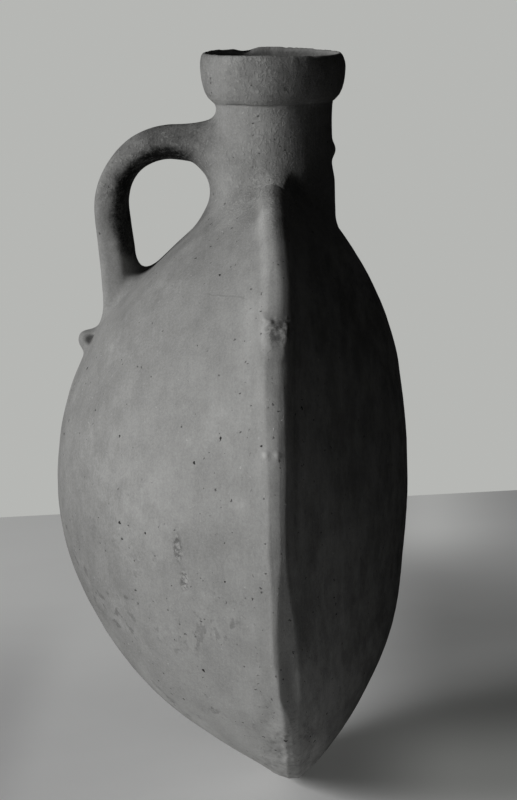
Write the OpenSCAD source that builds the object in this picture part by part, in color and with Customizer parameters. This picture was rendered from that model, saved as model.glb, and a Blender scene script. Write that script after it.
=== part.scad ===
// Pilgrim flask of fired clay: two unequal bowls joined rim to rim on a vertical seam,
// with a neck, a banded mouth, one loop handle and small lugs.
// The seam lies in the plane x = 0. The deep bowl is towards -X and the shallow one towards +X.
// The origin is the middle of the small worn flat under the seam, and +Z is up.

/* [Body] */
// Radius of the seam edge, seen from either face
seam_r = 142.6; // [138:0.2:147]
// Depth of the deep bowl, from the seam plane to its crown
deep_bowl_depth = 107.6; // [100:0.2:112]
// Depth of the shallow bowl
shallow_bowl_depth = 55.7; // [52:0.2:60]
// Thickness of the bowl walls
wall = 6; // [5:0.5:7]
// How much of the seam edge is worn away where the flask touches the ground
foot_wear = 0.6; // [0.4:0.1:1]

/* [Seam] */
// Radial depth of the clay strip that caps the joint between the bowls
strip_depth = 5.6; // [4:0.2:7]
// Width of the raised ribs that run down the seam from the neck
rib_w = 10.6; // [9:0.2:12]
// How far the ribs stand out from the seam edge where they are highest
rib_rise = 2.6; // [2:0.1:3.4]

/* [Neck and mouth] */
// Total height of the flask
total_h = 339; // [336:0.5:344]
// How far the neck axis lies from the seam plane, towards the deep bowl
neck_offset = 2; // [0:0.1:4]
// Outer radius of the neck at its waist
neck_r = 26.6; // [25.5:0.1:27.5]
// Radius of the round bore through the neck
bore_r = 20.5; // [18:0.5:21.5]
// Largest radius of the band round the mouth
band_r = 33.5; // [33:0.1:36]
// Height of the band
band_h = 24.5; // [22:0.5:26]
// Inner radius of the mouth at the lip
lip_r = 30.6; // [29:0.1:31]

/* [Handle] */
// Radius of the arch, along the middle of the clay
arch_r = 30; // [27:0.5:32]
// Height of the middle of the arch's top
arch_z = 297.4; // [293:0.2:299]
// Distance of the upright part from the neck axis
handle_reach = 78.1; // [76:0.1:80]
// Thickness of the handle, seen from the front
handle_t = 16.6; // [14:0.2:18]
// Width of the handle, from front to back
handle_w = 24; // [20:0.5:27]
// Turn of the handle round the neck, from the seam's square towards the back
handle_turn = 9; // [0:1:15]

/* [Lugs] */
// Height of the two lugs on the seam edge
edge_lug_z = 224; // [215:1:230]
// Height of the lug under the handle
face_lug_z = 207; // [203:0.5:209]
// Diameter of the dimple pressed into the lug under the handle
dimple_d = 3.4; // [2.8:0.1:4]

/* [Hidden] */
$fn = 160;
centre_z = seam_r - foot_wear;

// Each bowl is a list: its depth, then three arcs that run on smoothly into each other.
// An arc is written as the radius where it ends and the slope of the wall there, in degrees.
deep = [deep_bowl_depth, [49, 22.7], [115, 53], [seam_r, 62.9]];
shallow = [shallow_bowl_depth, [52, 9], [93, 26.7], [seam_r, 45.2]];
profile_steps = 26;
groove_r = seam_r - strip_depth;

// The deep bowl's shoulder is pressed flat under the handle
shoulder_x = -58.8;
shoulder_z = 241.4;
shoulder_slope = 42;

neck_waist = 0.9;
neck_hole_r = neck_r + neck_waist;
neck_foot_z = centre_z + 96;
hole_top_z = centre_z + seam_r;
band_z = total_h - band_h;
neck_top_z = band_z + 4;
handle_start = neck_hole_r - 6;
handle_lean = 5;
big = 400;
clay = [0.56, 0.56, 0.55];
clay_dark = [0.48, 0.48, 0.47];
clay_light = [0.62, 0.62, 0.61];

function arc_start(bowl, i) = i == 1 ? [0, 0] : bowl[i - 1];
function arc_radius(bowl, i) =
    (bowl[i][0] - arc_start(bowl, i)[0]) / (sin(bowl[i][1]) - sin(arc_start(bowl, i)[1]));
function arc_drop(bowl, i, slope) =
    arc_radius(bowl, i) * (cos(arc_start(bowl, i)[1]) - cos(slope));
function arc_at(bowl, r) = r <= bowl[1][0] ? 1 : r <= bowl[2][0] ? 2 : 3;
function wall_slope(bowl, r) = let (i = arc_at(bowl, r))
    asin(sin(arc_start(bowl, i)[1]) + (r - arc_start(bowl, i)[0]) / arc_radius(bowl, i));
function wall_height(bowl, r) = let (i = arc_at(bowl, r))
    bowl[0]
    - (i > 1 ? arc_drop(bowl, 1, bowl[1][1]) : 0)
    - (i > 2 ? arc_drop(bowl, 2, bowl[2][1]) : 0)
    - arc_drop(bowl, i, wall_slope(bowl, r));
// Points of the bowl's wall from its crown out to radius r_end, set in by a distance
function wall_points(bowl, r_end, inset) = [for (k = [0:profile_steps])
    let (r = r_end * k / profile_steps, slope = wall_slope(bowl, r))
    [r - inset * sin(slope), wall_height(bowl, r) - inset * cos(slope)]];

// A solid bowl with its flat side on the seam plane; side is -1 for the deep one and 1 for the other
module solid_bowl(bowl, side, r_end, inset = 0) {
    translate([0, 0, centre_z])
        rotate([0, 90 * side, 0])
            rotate_extrude()
                intersection() {
                    polygon(concat([[0, 0]], wall_points(bowl, r_end, inset), [[r_end - inset, 0]]));
                    square([seam_r + 1, big]);
                }
}

// The half space under the flattened shoulder
module under_shoulder(inset = 0) {
    translate([shoulder_x, 0, shoulder_z])
        rotate([0, -shoulder_slope, 0])
            translate([-big / 2, -big / 2, -big - inset])
                cube(big);
}

module above_ground() {
    translate([-big / 2, -big / 2, 0])
        cube(big);
}

module neck_shaft(r, z0, z1) {
    translate([-neck_offset, 0, z0])
        cylinder(r = r, h = z1 - z0);
}

// The outside of the closed body, up to a radius
module deep_outside(r_end = seam_r) {
    intersection() {
        solid_bowl(deep, -1, r_end);
        under_shoulder();
    }
}

module shallow_outside(r_end = seam_r) {
    solid_bowl(shallow, 1, r_end);
}

module deep_inside() {
    intersection() {
        solid_bowl(deep, -1, seam_r, wall);
        under_shoulder(wall);
    }
}

module shallow_inside() {
    solid_bowl(shallow, 1, seam_r, wall);
}

module deep_bowl() {
    color(clay)
        difference() {
            deep_outside(groove_r);
            deep_inside();
            neck_shaft(neck_hole_r, centre_z, hole_top_z);
        }
}

module shallow_bowl() {
    color(clay_dark)
        difference() {
            shallow_outside(groove_r);
            shallow_inside();
            neck_shaft(neck_hole_r, centre_z, hole_top_z);
        }
}

// Section of the strip that fills the groove between the two rims and is pared off level with them
module strip_section() {
    steps = 4;
    function edge(bowl, side) = [for (k = [0:steps])
        let (r = groove_r + strip_depth * k / steps) [r, side * wall_height(bowl, r)]];
    deep_edge = edge(deep, -1);
    shallow_edge = edge(shallow, 1);
    polygon(concat(deep_edge, [for (k = [steps:-1:0]) shallow_edge[k]]));
}

module seam_strip() {
    color(clay_light)
        intersection() {
            difference() {
                translate([0, 0, centre_z])
                    rotate([0, 90, 0])
                        rotate_extrude()
                            strip_section();
                neck_shaft(neck_hole_r, centre_z, hole_top_z + 1);
            }
            above_ground();
        }
}

// A rib is part of a ring a little smaller than the seam edge, moved up and out so that it is proud
// of the edge near the neck, where it ends square, and sinks into the edge lower down
rib_top_angle = 17.5;
rib_foot_angle = 98;
rib_corner = 2.4;
rib_depth = 9;
rib_sink = 3.1;
rib_move = rib_sink + rib_rise;
rib_move_angle = 9;
module rib_section() {
    outer = seam_r - rib_sink;
    half = rib_w / 2;
    corner_steps = 5;
    function corner(side, a) =
        [outer - rib_corner + rib_corner * sin(a), side * (half - rib_corner + rib_corner * cos(a))];
    polygon(concat(
        [[outer - rib_depth, -half]],
        [for (k = [0:corner_steps]) corner(-1, 90 * k / corner_steps)],
        [for (k = [corner_steps:-1:0]) corner(1, 90 * k / corner_steps)],
        [[outer - rib_depth, half]]));
}

module rib() {
    difference() {
        translate([0, -rib_move * sin(rib_move_angle), centre_z + rib_move * cos(rib_move_angle)])
            rotate([0, 90, 0])
                rotate([0, 0, 180 + rib_top_angle])
                    rotate_extrude(angle = rib_foot_angle - rib_top_angle)
                        rib_section();
        deep_outside();
        shallow_outside();
        neck_shaft(neck_hole_r, centre_z, total_h);
    }
}

module front_rib() {
    color(clay_light)
        rib();
}

module back_rib() {
    color(clay_light)
        mirror([0, 1, 0])
            rib();
}

// The neck is a little waisted, and its foot is trimmed level with the inside of the bowls
module neck() {
    steps = 12;
    profile = concat(
        [[bore_r, neck_foot_z], [neck_hole_r, neck_foot_z]],
        [for (k = [0:steps]) let (t = k / steps)
            [neck_r + neck_waist * pow(2 * t - 1, 2), hole_top_z + (neck_top_z - hole_top_z) * t]],
        [[bore_r, neck_top_z]]);
    color(clay)
        difference() {
            translate([-neck_offset, 0, 0])
                rotate_extrude()
                    polygon(profile);
            deep_inside();
            shallow_inside();
        }
}

// Clay smoothed into the corner between the neck and the flattened shoulder
module neck_coil() {
    coil_shift = 6;
    coil_half_angle = 75;
    top_z = 285;
    low_z = 250;
    reach = 16;
    steps = 9;
    start_r = neck_hole_r - coil_shift + 0.2;
    profile = concat(
        [[start_r - 6, low_z], [start_r - 6, top_z]],
        [for (k = [0:steps]) let (a = 90 * k / steps)
            [start_r + reach * (1 - cos(a)), top_z - (top_z - low_z) * sin(a)]]);
    color(clay_light)
        difference() {
            translate([-neck_offset - coil_shift, 0, 0])
                rotate([0, 0, 180 - coil_half_angle])
                    rotate_extrude(angle = 2 * coil_half_angle)
                        polygon(profile);
            neck_shaft(neck_hole_r, centre_z, total_h);
            deep_outside();
        }
}

// The band round the mouth, with an undercut line below it and a thin lip
module mouth_band() {
    profile = [
        [bore_r, neck_top_z], [bore_r + 0.3, band_z + 7], [bore_r + 3.4, band_z + 13],
        [lip_r - 1.6, total_h - 4], [lip_r, total_h - 0.8], [lip_r + 0.8, total_h],
        [band_r - 2, total_h - 0.5], [band_r - 1.1, total_h - 2], [band_r - 0.15, total_h - 4.8],
        [band_r, total_h - 7.5], [band_r - 0.2, total_h - 10.2], [band_r - 0.5, total_h - 13],
        [band_r - 1, total_h - 15.7], [band_r - 1.7, total_h - 18.5], [band_r - 3.1, total_h - 21.2],
        [band_r - 5.2, total_h - 23.2], [neck_r + 0.7, band_z]];
    color(clay)
        difference() {
            translate([-neck_offset, 0, 0])
                rotate_extrude()
                    polygon(concat([[bore_r, band_z]], [[bore_r, neck_top_z]], profile));
            neck();
        }
}

// The handle's middle line: out from the neck, over the arch, and down with a slight lean inwards
function handle_at(s) =
    let (
        run = handle_reach - arch_r - handle_start,
        bend = arch_r * (90 + handle_lean) * PI / 180,
        a = min(max(s - run, 0) / arch_r * 180 / PI, 90 + handle_lean),
        down = max(s - run - bend, 0))
    [handle_start + min(s, run) + arch_r * sin(a) - down * sin(handle_lean),
        arch_z - arch_r * (1 - cos(a)) - down * cos(handle_lean), a];
handle_length = handle_reach - arch_r - handle_start + arch_r * (90 + handle_lean) * PI / 180 + 58;
// Both roots are spread where the clay was pressed on, the lower one mostly sideways,
// and the clay is pulled a little thinner over the corner of the arch
root_spread = 0.5;
lower_root_thick = 0.2;
upper_root_l = 11;
lower_root_l = 18;
pull = 0.09;
pull_l = 22;
corner_s = handle_reach - arch_r - handle_start + arch_r * PI / 4;
function handle_swell(s, lower_spread) = 1
    + root_spread * exp(-pow(s / upper_root_l, 2))
    + lower_spread * exp(-pow((handle_length - s) / lower_root_l, 2))
    - pull * exp(-pow((s - corner_s) / pull_l, 2));
function handle_ring(s, sides) =
    let (c = handle_at(s))
    [for (k = [0:sides - 1]) let (
        t = 360 * k / sides,
        u = handle_t / 2 * handle_swell(s, lower_root_thick) * cos(t),
        v = handle_w / 2 * handle_swell(s, root_spread) * sin(t))
        [-(c[0] + u * sin(c[2])), v, c[1] + u * cos(c[2])]];

module handle_body() {
    sides = 24;
    rings = 36;
    points = [for (i = [0:rings]) each handle_ring(handle_length * i / rings, sides)];
    faces = concat(
        [[for (k = [0:sides - 1]) k]],
        [for (i = [0:rings - 1], k = [0:sides - 1]) let (n = (k + 1) % sides)
            [i * sides + k, (i + 1) * sides + k, (i + 1) * sides + n, i * sides + n]],
        [[for (k = [sides - 1:-1:0]) rings * sides + k]]);
    translate([-neck_offset, 0, 0])
        rotate([0, 0, -handle_turn])
            polyhedron(points = points, faces = faces, convexity = 4);
}

module handle() {
    color(clay_light)
        difference() {
            handle_body();
            neck_shaft(neck_hole_r, centre_z, total_h);
            deep_outside();
        }
}

// The lug under the handle: a small nose of clay with a dimple pressed into its front
lug_r = 6.2;
lug_x = -wall_height(deep, abs(face_lug_z - centre_z));
dimple_out = 1;
dimple_up = 1.6;
dimple_depth = 3;
module face_lug() {
    color(clay_light)
        difference() {
            translate([lug_x, 0, face_lug_z])
                sphere(r = lug_r);
            translate([lug_x - dimple_out, dimple_depth - lug_r, face_lug_z + dimple_up])
                rotate([90, 0, 0])
                    cylinder(d = dimple_d, h = lug_r);
            deep_outside();
        }
}

// The lugs on the seam edge, front and back: knobs of clay pressed on over the ribs
lug_angle = acos((edge_lug_z - centre_z) / seam_r);
knob_r = 6.4;
module edge_lug() {
    difference() {
        translate([0, -seam_r * sin(lug_angle), centre_z + seam_r * cos(lug_angle)])
            sphere(r = knob_r);
        rib();
        deep_outside();
        shallow_outside();
    }
}

module front_lug() {
    color(clay_dark)
        edge_lug();
}

module back_lug() {
    color(clay_dark)
        mirror([0, 1, 0])
            edge_lug();
}

// A low boss of clay on the neck, opposite the handle
module neck_boss() {
    boss_z = 292.3;
    color(clay_dark)
        difference() {
            translate([-neck_offset + neck_r - 2.6, 0, boss_z])
                sphere(r = 5.2);
            neck();
            neck_shaft(bore_r + 1, centre_z, total_h);
        }
}

deep_bowl();
shallow_bowl();
seam_strip();
front_rib();
back_rib();
neck();
neck_coil();
mouth_band();
handle();
face_lug();
front_lug();
back_lug();
neck_boss();
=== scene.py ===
"""Looks of the pilgrim flask: hand-smoothed, gritty fired clay in soft light from the left.

The whole surface is one field of distances, in millimetres, in which bowls, neck, handle and lugs
run into each other as smeared clay does. It is meshed once and divided into one closed piece for
each node of the frame, and neighbours share the very same points where they meet.
"""
import math
from types import SimpleNamespace

import bpy
import numpy as np
from mathutils import Matrix, Vector


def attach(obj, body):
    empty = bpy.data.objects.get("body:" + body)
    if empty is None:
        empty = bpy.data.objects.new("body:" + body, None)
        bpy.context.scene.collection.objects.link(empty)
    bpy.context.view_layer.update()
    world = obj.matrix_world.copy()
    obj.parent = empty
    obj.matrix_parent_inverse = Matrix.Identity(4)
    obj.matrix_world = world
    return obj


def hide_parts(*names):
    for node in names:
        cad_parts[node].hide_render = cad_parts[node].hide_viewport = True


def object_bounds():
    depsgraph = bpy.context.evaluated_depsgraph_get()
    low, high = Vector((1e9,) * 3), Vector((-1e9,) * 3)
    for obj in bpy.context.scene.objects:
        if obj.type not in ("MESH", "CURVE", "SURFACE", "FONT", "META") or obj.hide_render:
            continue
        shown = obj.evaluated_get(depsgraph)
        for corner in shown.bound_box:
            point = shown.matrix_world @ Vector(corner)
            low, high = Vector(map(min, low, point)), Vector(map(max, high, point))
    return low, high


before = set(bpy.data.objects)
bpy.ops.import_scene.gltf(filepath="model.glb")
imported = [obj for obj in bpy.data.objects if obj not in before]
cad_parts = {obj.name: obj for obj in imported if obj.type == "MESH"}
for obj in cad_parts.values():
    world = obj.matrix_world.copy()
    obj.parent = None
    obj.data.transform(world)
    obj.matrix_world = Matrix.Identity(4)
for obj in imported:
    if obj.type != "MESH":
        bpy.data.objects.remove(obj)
cad_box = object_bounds()

MM = 0.001
PIECES = ["deep_bowl", "shallow_bowl", "seam_strip", "front_rib", "back_rib", "neck", "neck_coil",
          "mouth_band", "handle", "face_lug", "front_lug", "back_lug", "neck_boss"]
LABEL = {name: number + 1 for number, name in enumerate(PIECES)}

# ---- Sizes, in millimetres, as in the frame ----

SEAM_R = 142.6
CENTRE_Z = 142.0
WALL = 6.0
GROOVE_R = 137.0
# A bowl is its depth, then three arcs: radius where the arc ends and slope of the wall there
DEEP = (107.6, ((49.0, 22.7), (115.0, 53.0), (SEAM_R, 62.9)))
SHALLOW = (55.7, ((52.0, 9.0), (93.0, 26.7), (SEAM_R, 45.2)))
SHOULDER = (-58.8, 241.4, 42.0)

NECK_X = -2.0
NECK_R = 26.6
NECK_WAIST = 0.9
NECK_HOLE_R = 27.5
HOLE_TOP_Z = CENTRE_Z + SEAM_R
BORE_R = 20.5
TOTAL_H = 339.0
BAND_Z = 314.5
NECK_TOP_Z = 318.5
# Outside of the band from below to the lip, then the inside of the mouth: (height, radius)
BAND_OUTSIDE = ((309.0, 26.6), (314.5, 27.2), (315.8, 28.4), (317.8, 30.3), (320.5, 31.7),
                (323.3, 32.5), (326.0, 33.0), (328.8, 33.3), (331.5, 33.5), (334.2, 33.35),
                (337.0, 32.6), (338.5, 31.8), (341.0, 31.0))
MOUTH_INSIDE = ((316.0, BORE_R), (321.5, 20.9), (327.5, 24.2), (332.0, 27.4), (335.0, 29.1),
                (338.2, 30.5), (341.0, 31.0))

ARCH_R = 30.0
ARCH_Z = 297.4
REACH = 78.1
HANDLE_HALF_T = 8.3
HANDLE_HALF_W = 12.0
HANDLE_TURN = math.radians(9)
HANDLE_LEAN = math.radians(5)
HANDLE_START = 21.5
HANDLE_DROP = 58.0
ROOT_SPREAD = 0.5
LOWER_ROOT_THICK = 0.12
PULL = 0.09
PULL_L = 22.0
UPPER_ROOT_L = 11.0
LOWER_ROOT_L = 18.0

RIB_CENTRE = (0.892, 147.63)
RIB_R = 139.5
RIB_HALF_W = 6.2
RIB_TOP_Y = 42.5
RIB_RIDGE = 0.6
RIB_EXTRA = 1.4
LUG_Z = 225.0
FACE_LUG = (-90.0, 207.0)
DIMPLE = (-89.2, -6.4, 207.6)
BOSS = (22.0, 292.3)

# How far one form runs into the next where clay was smeared over the joint
RIB_BLEND = 3.0
LUG_BLEND = 3.0
NOSE_BLEND = 3.5
BOSS_BLEND = 2.5
BAND_BLEND = 1.2

# Bits lost from the surface: (x, y, z, half-width, half-height)
SCARS = ((-45.0, -115.6, 131.4, 1.7, 5.5), (-42.7, -114.7, 116.6, 1.7, 4.8))
# A scratch: x at its left and right ends, and its height
SCRATCH = (-29.5, -14.0, 237.8)

# ---- Colours, light and camera, in metres, degrees and pixels of the picture ----

CLAY_GREY = (0.300, 0.300, 0.293, 1.0)
BACKGROUND = (0.468, 0.474, 0.458, 1.0)
FLOOR_GLOW = (0.052, 0.0528, 0.0508, 1.0)
FLASK_MIDDLE = (-0.02, 0.0, 0.17)
WINDOW_PLACE = (-3.48, -1.50, 1.45)
WINDOW_SIZE = (1.7, 1.9)
WINDOW_WATTS = 132.0
# Turn to the right, rise and roll of the camera
CAMERA_ANGLES = (2.5, 9.45, -1.69)
CAMERA_TARGET = (-0.01292, 0.0, 0.17645)
CAMERA_DISTANCE = 1.6
LENS_PX = 1600.0 / 0.466
IMAGE_H = 800.0


# ---- Small tools for the field ----

def smooth_min(a, b, reach):
    """Union of two fields, blended where they are within reach of each other."""
    h = np.maximum(reach - np.abs(a - b), 0.0) / reach
    return np.minimum(a, b) - h * h * reach * 0.25


def smooth_max(a, b, reach):
    return -smooth_min(-a, -b, reach)


def ramp(value, low, high):
    t = np.clip((value - low) / (high - low), 0.0, 1.0)
    return t * t * (3.0 - 2.0 * t)


def noise(x, y, z, seed):
    """Smooth noise from -1 to 1 with a grain of one unit."""
    size = 64
    table = np.random.default_rng(seed).uniform(-1.0, 1.0, (size, size, size))
    out = 0.0
    cell = [np.floor(v).astype(np.int64) for v in (x, y, z)]
    part = [v - c for v, c in zip((x, y, z), cell)]
    part = [t * t * (3.0 - 2.0 * t) for t in part]
    for dx in (0, 1):
        wx = part[0] if dx else 1.0 - part[0]
        for dy in (0, 1):
            wy = part[1] if dy else 1.0 - part[1]
            for dz in (0, 1):
                wz = part[2] if dz else 1.0 - part[2]
                out = out + wx * wy * wz * table[(cell[0] + dx) % size, (cell[1] + dy) % size,
                                                 (cell[2] + dz) % size]
    return out


# ---- The bowls ----

def wall_table(bowl):
    """Radii, heights and cosines of slope along a bowl's wall, from its crown outwards."""
    depth, arcs = bowl
    radii, heights, cosines = [], [], []
    start_r, start_a = 0.0, 0.0
    height = depth
    for end_r, end_slope in arcs:
        end_a = math.radians(end_slope)
        big_r = (end_r - start_r) / (math.sin(end_a) - math.sin(start_a))
        r = np.linspace(start_r, end_r, 120)
        a = np.arcsin(math.sin(start_a) + (r - start_r) / big_r)
        radii.append(r)
        heights.append(height - big_r * (math.cos(start_a) - np.cos(a)))
        cosines.append(np.cos(a))
        height = heights[-1][-1]
        start_r, start_a = end_r, end_a
    radii.append(np.array([SEAM_R + 60.0]))
    heights.append(np.array([height - 60.0 * math.tan(start_a)]))
    cosines.append(np.array([math.cos(start_a)]))
    return np.concatenate(radii), np.concatenate(heights), np.concatenate(cosines)


DEEP_WALL = wall_table(DEEP)
SHALLOW_WALL = wall_table(SHALLOW)
# Where the hand-laid seam strays from its plane: (angle from the top round the front, shift, spread)
SEAM_STRAYS = ((62.0, -0.9, 12.0), (93.0, -0.8, 10.0), (133.0, 1.5, 22.0), (205.0, -1.1, 25.0),
               (262.0, 0.9, 20.0), (310.0, -0.8, 18.0))

# The seam is pared to two facets, one facing forwards and one turned a little to the right:
# (height, depth of the cut, x where the facets meet, x where they end)
FACETS = ((50.0, 0.12, 2.0, -4.0), (62.0, 0.6, -2.1, 2.5), (82.0, 1.2, -2.1, 3.6),
          (98.0, 1.0, -2.1, 3.6), (112.0, 0.6, -1.2, 3.4), (130.0, 0.5, 0.6, 3.2),
          (150.0, 0.45, 1.1, 3.3), (172.0, 0.55, 1.1, 3.5), (196.0, 0.55, 1.1, 3.3),
          (206.0, 0.4, 1.1, 2.0), (218.0, 0.12, 1.1, -4.0))


def seam_shift(y, z, r):
    angle = np.degrees(np.arctan2(-y, z - CENTRE_Z)) % 360.0
    shift = 0.0
    for at, size, spread in SEAM_STRAYS:
        shift = shift + size * np.exp(-((angle - at) / spread) ** 2)
    return shift * ramp(r, 100.0, 136.0)


def wall_distance(table, along, r):
    return (along - np.interp(r, table[0], table[1])) * np.interp(r, table[0], table[2])


def shoulder_distance(x, z):
    slope = math.radians(SHOULDER[2])
    return (z - SHOULDER[1]) * math.cos(slope) - (x - SHOULDER[0]) * math.sin(slope)


def bowls(x, y, z):
    """Distances from the outside of the joined bowls, and from their inside."""
    r = np.hypot(y, z - CENTRE_Z)
    level, cut, turn, end = np.array(FACETS).T
    cut, turn, end = (np.interp(z, level, values) for values in (cut, turn, end))
    pared = r - SEAM_R + cut + 0.28 * np.maximum(x - turn, 0.0)
    brim = 0.9 * (x - end - 0.5 * (SEAM_R - 2.0 - r))
    x = x - seam_shift(y, z, r)
    deep = wall_distance(DEEP_WALL, -x, r)
    shallow = wall_distance(SHALLOW_WALL, x, r)
    flat = shoulder_distance(x, z)
    deep_outer = smooth_max(deep, flat, 5.0)
    brim = np.maximum(np.maximum(brim, 130.0 - r), -0.5 - x)
    walls = smooth_min(np.maximum(deep_outer, shallow), brim, 1.5)
    outer = smooth_max(walls, pared, 0.4)
    outer = np.maximum(outer, -z)
    inner = np.maximum(np.maximum(np.maximum(deep, flat), shallow) + WALL, r - SEAM_R + WALL)
    return outer, inner


# ---- Neck, mouth and the clay around them ----

def neck_radius(z):
    t = np.clip((z - HOLE_TOP_Z) / (NECK_TOP_Z - HOLE_TOP_Z), 0.0, 1.0)
    return NECK_R + NECK_WAIST * (2.0 * t - 1.0) ** 2


def neck_outside(x, y, z):
    around = np.hypot(x - NECK_X, y)
    # The foot stays inside the bowls
    return np.maximum(around - neck_radius(z), np.maximum(238.0 - z, z - 330.0))


def lip_tilt(x, z):
    """The lip is a little lower to the right."""
    return z + 1.9 * ramp(x, -14.0, 38.0) * ramp(z, 320.0, 335.0)


def band_outside(x, y, z):
    z = lip_tilt(x, z)
    around = np.hypot(x - NECK_X, y)
    heights, radii = np.array(BAND_OUTSIDE).T
    side = (around - np.interp(z, heights, radii)) * 0.85
    band = smooth_max(side, z - TOTAL_H + 0.05, 1.6)
    return smooth_max(band, BAND_Z - z, 1.0)


def under_line(x, y, z):
    """The uneven line cut under the band."""
    around = np.hypot(x - NECK_X, y)
    turn = np.arctan2(y, x - NECK_X)
    cut = 0.8 + 0.25 * np.sin(3.0 * turn + 0.6) + 0.18 * np.sin(11.0 * turn)
    return np.hypot(around - 28.1, z - 314.9 - 0.3 * np.sin(5.0 * turn)) - cut


def bore(x, y, z):
    z = lip_tilt(x, z)
    around = np.hypot(x - NECK_X, y)
    heights, radii = np.array(MOUTH_INSIDE).T
    return np.maximum((around - np.interp(z, heights, radii)) * 0.8, 232.0 - z)


def boss_outside(x, y, z):
    return np.sqrt((x - BOSS[0]) ** 2 + (y * 0.6) ** 2 + (z - BOSS[1]) ** 2) - 4.0


# ---- Handle ----

def handle_outside(x, y, z):
    """The swept loop: out from the neck, over the arch and down to the shoulder."""
    out = -(x - NECK_X) * math.cos(HANDLE_TURN) + y * math.sin(HANDLE_TURN)
    side = (x - NECK_X) * math.sin(HANDLE_TURN) + y * math.cos(HANDLE_TURN)
    arch_x = REACH - ARCH_R
    run = arch_x - HANDLE_START
    sweep = math.pi / 2 + HANDLE_LEAN
    # First stretch: level
    s1 = np.clip(out - HANDLE_START, 0.0, run)
    d1 = np.hypot(out - HANDLE_START - s1, z - ARCH_Z)
    # Arch
    turn = np.clip(np.arctan2(out - arch_x, z - (ARCH_Z - ARCH_R)), 0.0, sweep)
    ax = arch_x + ARCH_R * np.sin(turn)
    az = ARCH_Z - ARCH_R * (1.0 - np.cos(turn))
    d2 = np.hypot(out - ax, z - az)
    s2 = run + ARCH_R * turn
    # Down to the shoulder
    end_x = arch_x + ARCH_R * math.sin(sweep)
    end_z = ARCH_Z - ARCH_R * (1.0 - math.cos(sweep))
    dir_x, dir_z = -math.sin(HANDLE_LEAN), -math.cos(HANDLE_LEAN)
    along = np.clip((out - end_x) * dir_x + (z - end_z) * dir_z, 0.0, HANDLE_DROP)
    d3 = np.hypot(out - end_x - along * dir_x, z - end_z - along * dir_z)
    s3 = run + ARCH_R * sweep + along
    d = np.minimum(np.minimum(d1, d2), d3)
    s = np.where(d1 <= d, s1, np.where(d2 <= d, s2, s3))
    length = run + ARCH_R * sweep + HANDLE_DROP
    lower = np.exp(-((length - s) / LOWER_ROOT_L) ** 2)
    grow = 1.0 + ROOT_SPREAD * np.exp(-(s / UPPER_ROOT_L) ** 2)
    grow -= PULL * np.exp(-((s - run - ARCH_R * math.pi / 4) / PULL_L) ** 2)
    # Oval on the arch, squarer and a little thinner down the outer leg
    square = ramp(s, run + 14.0, run + 44.0)
    t = HANDLE_HALF_T * (grow + LOWER_ROOT_THICK * lower) - 0.75 * square
    w = HANDLE_HALF_W * (grow + ROOT_SPREAD * lower)
    power = 2.0 + 1.5 * square
    a, b = d / t, np.abs(side) / w
    size = (a ** power + b ** power + 1e-9) ** (1.0 / power)
    steep = np.hypot(a ** (power - 1.0) / t, b ** (power - 1.0) / w) * size ** (1.0 - power)
    return (size - 1.0) / (steep + 1e-6)


# ---- Ribs and lugs ----

def rib_outside(x, y, z):
    """Both ribs; y counts away from the middle, so front and back are alike."""
    depth = np.abs(y)
    ring = np.hypot(depth - RIB_CENTRE[0], z - RIB_CENTRE[1])
    lean = np.interp(z, (200.0, 224.0, 243.0, 257.0, 265.0, 281.0), (0.4, 1.6, 2.3, 0.9, -0.2, -2.2))
    off = np.abs(x - lean)
    # The crest is blunt and its two sides slope away
    crest = RIB_RIDGE * (np.sqrt(off * off + 9.0) - 3.0) - RIB_EXTRA * ramp(z, 225.0, 262.0)
    rib = smooth_max((ring - RIB_R + crest) * 0.9, off - RIB_HALF_W, 3.0)
    rib = smooth_max(rib, RIB_TOP_Y - depth, 1.6)
    return np.maximum(rib, np.maximum(125.0 - z, 125.0 - ring))


def edge_lug_outside(x, y, z):
    """Both lugs on the edge: a stub that runs out into the seam, its top broken off."""
    ring = np.hypot(y, z - CENTRE_Z)
    rise = ramp(z, LUG_Z - 10.0, LUG_Z - 1.0)
    front = ring - SEAM_R - 3.4 * rise - 0.10 * (x - 1.5)
    side = 0.95 * (np.abs(x - 1.4) - 3.2 - 1.8 * rise)
    top = 0.9 * (z - LUG_Z - 5.0) + 0.35 * (ring - SEAM_R) + 0.1 * x
    stub = smooth_max(smooth_max(front, side, 2.4), top, 1.2)
    stub = smooth_max(stub, LUG_Z - 10.0 - z, 2.5)
    return np.maximum(stub, 125.0 - ring)


def face_lug_outside(x, y, z):
    """A nose with a flat top."""
    up = z - FACE_LUG[1]
    nose = np.sqrt((x - FACE_LUG[0]) ** 2 + y ** 2 + (np.where(up > 0.0, 1.0, 0.98) * up) ** 2) - 6.0
    return smooth_max(nose, up - 4.7 - 0.12 * (x - FACE_LUG[0]), 2.0)


def dimple(x, y, z):
    """A soft hollow pressed into the front of the nose."""
    place = np.sqrt(((x - DIMPLE[0]) / 1.5) ** 2 + ((y - DIMPLE[1]) / 1.2) ** 2
                    + (z - DIMPLE[2]) ** 2)
    return place - 1.7


# ---- The whole flask ----

def in_box(x, y, z, low, high):
    return ((x > low[0]) & (x < high[0]) & (y > low[1]) & (y < high[1])
            & (z > low[2]) & (z < high[2]))


def blend_part(field, x, y, z, low, high, shape, reach):
    """Adds a shape to the field, worked out only inside a box around it."""
    m = in_box(x, y, z, low, high)
    if m.any():
        field[m] = smooth_min(field[m], shape(x[m], y[m], z[m]), reach)


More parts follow.
